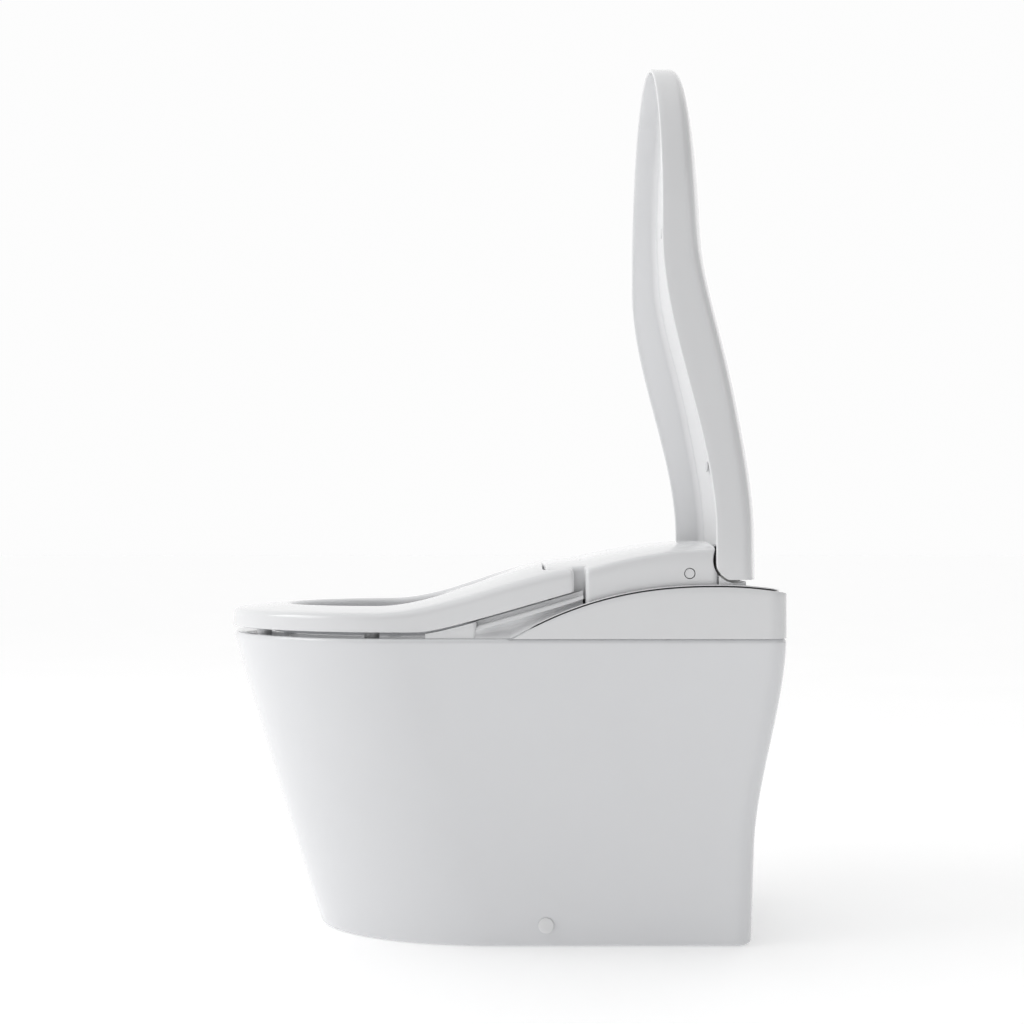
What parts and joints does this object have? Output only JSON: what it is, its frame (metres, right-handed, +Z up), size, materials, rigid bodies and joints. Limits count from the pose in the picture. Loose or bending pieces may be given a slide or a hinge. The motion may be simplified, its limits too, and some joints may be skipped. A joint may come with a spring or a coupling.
{
  "type": "electric bidet seat",
  "caption": "Floor-standing skirted toilet with a built-in electric bidet seat, lid open and seat down, motorised hinges, sliding wash nozzle and side button.",
  "frame": {"origin": "centre of the box's footprint, on the floor", "axes": "+Z up, front of the seat towards -Y, X across the plane of symmetry"},
  "size_m": [0.379, 0.691, 1.1077],
  "materials": {
    "glaze": "gloss",
    "white_shell": "gloss",
    "white_satin": "satin",
    "bright_trim": "polished",
    "steel": "satin",
    "works_white": "satin",
    "soft_pad": "matte",
    "seal_rubber": "matte",
    "valve_brass": "satin",
    "board_green": "satin",
    "heater_foil": "satin",
    "filter_black": "satin",
    "lamp_lens": "frosted",
    "dark_plastic": "matte"
  },
  "bodies": {
    "unit": {"ceramic_pan": "glaze", "floor_brackets": "works_white", "side_screws": "steel", "side_screw_caps": "white_satin", "outlet_connector": "seal_rubber", "base_plate": "works_white", "base_bolts": "steel", "housing": "white_shell", "side_scoops": "white_shell", "trim_strips": "bright_trim", "top_cover": "white_shell", "hinge_cover": "white_shell", "front_panel": "white_shell", "nozzle_guide": "works_white", "nozzle_motor": "dark_plastic", "seat_bumpers": "soft_pad", "seat_hinge_pins": "steel", "seat_drive": "dark_plastic", "lid_shafts": "steel", "hinge_posts": "works_white", "lid_drive": "dark_plastic", "water_heater": "works_white", "wash_pump": "dark_plastic", "inlet_valve": "valve_brass", "flush_valve": "works_white", "flush_pipe": "seal_rubber", "flush_pump": "dark_plastic", "dryer_fan": "dark_plastic", "dryer_duct": "works_white", "deodorizer_fan": "dark_plastic", "control_board": "board_green", "power_supply": "dark_plastic", "night_light": "lamp_lens", "cord_gland": "dark_plastic"},
    "lid": {"lid_shell": "white_shell", "lid_liner": "white_satin", "lid_bumpers": "soft_pad", "lid_hinge_lugs": "white_shell"},
    "seat": {"seat_top_shell": "white_shell", "seat_bottom_shell": "white_satin", "seat_heater": "heater_foil", "seat_hinge_arms": "white_shell"},
    "nozzle": {"wash_nozzle": "works_white"},
    "pinion": {"nozzle_pinion": "works_white"},
    "shutter": {"nozzle_shutter": "white_shell"},
    "button": {"side_button": "white_satin"},
    "filter": {"deodorizer_filter": "filter_black"}
  },
  "joints": [
    {"name": "lid_hinge", "type": "hinge", "parent": "unit", "child": "lid", "pos_m": [0, 0.283, 0.473], "axis": [1, 0, 0], "range_deg": [0, 90]},
    {"name": "seat_hinge", "type": "hinge", "parent": "unit", "child": "seat", "pos_m": [0, 0.086, 0.456], "axis": [1, 0, 0], "range_deg": [-105, 0]},
    {"name": "nozzle_slide", "type": "slide", "parent": "unit", "child": "nozzle", "axis": [0, -0.9272, -0.3746], "range_m": [0, 0.125]},
    {"name": "pinion_spin", "type": "hinge", "parent": "unit", "child": "pinion", "pos_m": [0.0193, 0.1232, 0.42484], "axis": [0, -0.3746, 0.9272], "range_deg": [0, 1030]},
    {"name": "shutter_hinge", "type": "hinge", "parent": "unit", "child": "shutter", "pos_m": [0, 0.0556, 0.4185], "axis": [1, 0, 0], "range_deg": [-81, 0]},
    {"name": "button_press", "type": "slide", "parent": "unit", "child": "button", "axis": [-1, 0, 0], "range_m": [0, 0.002], "stiffness_N_per_m": 400},
    {"name": "filter_slide", "type": "slide", "parent": "unit", "child": "filter", "axis": [-1, 0, 0], "range_m": [0, 0.09]}
  ],
  "couplings": [
    {"joint": "pinion_spin", "follows": "nozzle_slide", "rad_per_m": 142.86},
    {"joint": "shutter_hinge", "follows": "nozzle_slide", "rad_per_m": -11.17}
  ]
}
